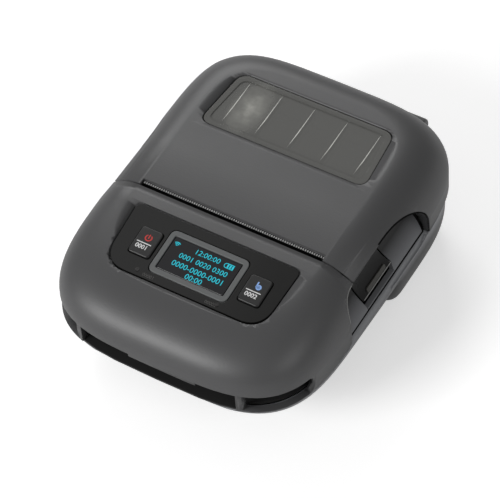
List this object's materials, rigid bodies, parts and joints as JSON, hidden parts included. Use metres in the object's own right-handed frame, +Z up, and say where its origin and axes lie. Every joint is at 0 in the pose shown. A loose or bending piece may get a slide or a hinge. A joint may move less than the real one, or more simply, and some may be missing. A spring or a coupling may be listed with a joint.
{
  "type": "mobile printer",
  "caption": "Pocket receipt printer with a hinged lid over the paper roll, a smoked window, a sunk control panel with a small display and two keys, and a side button that opens it.",
  "frame": {"origin": "bottom centre of the bounding box, on the table", "axes": "+X to the side with the open button, +Y to the rear where the lid hinges, +Z up"},
  "size_m": [0.1188, 0.156, 0.057],
  "materials": {
    "case_grey": "fine grained, matte",
    "scoop_grey": "smooth, satin",
    "panel_black": "gloss",
    "inner_black": "matte",
    "frame_grey": "satin",
    "display_glass": "gloss, dark",
    "window_smoke": "smoked, clear",
    "button_gloss": "gloss",
    "rubber_black": "matte",
    "steel": "brushed",
    "aluminium": "satin",
    "board_green": "satin",
    "gear_white": "satin",
    "lens_smoke": "smoked, clear",
    "battery_grey": "matte"
  },
  "bodies": {
    "case": {"battery_door": "case_grey", "battery_pack": "battery_grey", "charge_port": "steel", "display_bezel": "frame_grey", "display_module": "display_glass", "error_lens": "lens_smoke", "foot_front_left": "rubber_black", "foot_front_right": "rubber_black", "foot_rear_left": "rubber_black", "foot_rear_right": "rubber_black", "front_cover": "case_grey", "gear_bracket": "steel", "guard_liner": "inner_black", "heat_sink": "steel", "hinge_pin": "steel", "lower_case": "case_grey", "main_board": "board_green", "middle_frame": "scoop_grey", "panel_board": "board_green", "panel_plate": "panel_black", "power_lens": "lens_smoke", "print_head": "aluminium", "stepper_motor": "aluminium"},
    "lid": {"lid_carrier": "inner_black", "lid_cover": "case_grey", "lid_window": "window_smoke", "platen_bush_left": "gear_white", "platen_bush_right": "gear_white", "tear_bar": "steel"},
    "platen": {"platen_gear": "gear_white", "platen_rubber": "rubber_black", "platen_shaft": "steel"},
    "idler": {"idler_gear": "gear_white"},
    "motor_rotor": {"motor_pinion": "steel"},
    "open_key": {"open_button": "button_gloss"},
    "mode_key": {"mode_button": "button_gloss"},
    "feed_key": {"feed_button": "button_gloss"}
  },
  "joints": [
    {"name": "lid_hinge", "type": "hinge", "parent": "case", "child": "lid", "pos_m": [0, 0.07365, 0.0385], "axis": [-1, 0, 0], "range_deg": [0, 95]},
    {"name": "platen_spin", "type": "hinge", "parent": "lid", "child": "platen", "pos_m": [0, -0.01105, 0.0426], "axis": [1, 0, 0], "continuous": true},
    {"name": "idler_spin", "type": "hinge", "parent": "case", "child": "idler", "pos_m": [-0.0477, -0.02404, 0.0351], "axis": [1, 0, 0], "continuous": true},
    {"name": "motor_spin", "type": "hinge", "parent": "case", "child": "motor_rotor", "pos_m": [-0.0477, -0.03563, 0.03199], "axis": [1, 0, 0], "continuous": true},
    {"name": "open_button_press", "type": "slide", "parent": "case", "child": "open_key", "axis": [-1, 0, 0], "range_m": [0, 0.0015], "stiffness_N_per_m": 900},
    {"name": "mode_button_press", "type": "slide", "parent": "case", "child": "mode_key", "axis": [0, 0, -1], "range_m": [0, 0.0007], "stiffness_N_per_m": 900},
    {"name": "feed_button_press", "type": "slide", "parent": "case", "child": "feed_key", "axis": [0, 0, -1], "range_m": [0, 0.0007], "stiffness_N_per_m": 900}
  ],
  "couplings": [
    {"joint": "idler_spin", "follows": "platen_spin", "ratio": -0.66667},
    {"joint": "motor_spin", "follows": "platen_spin", "ratio": 2}
  ]
}
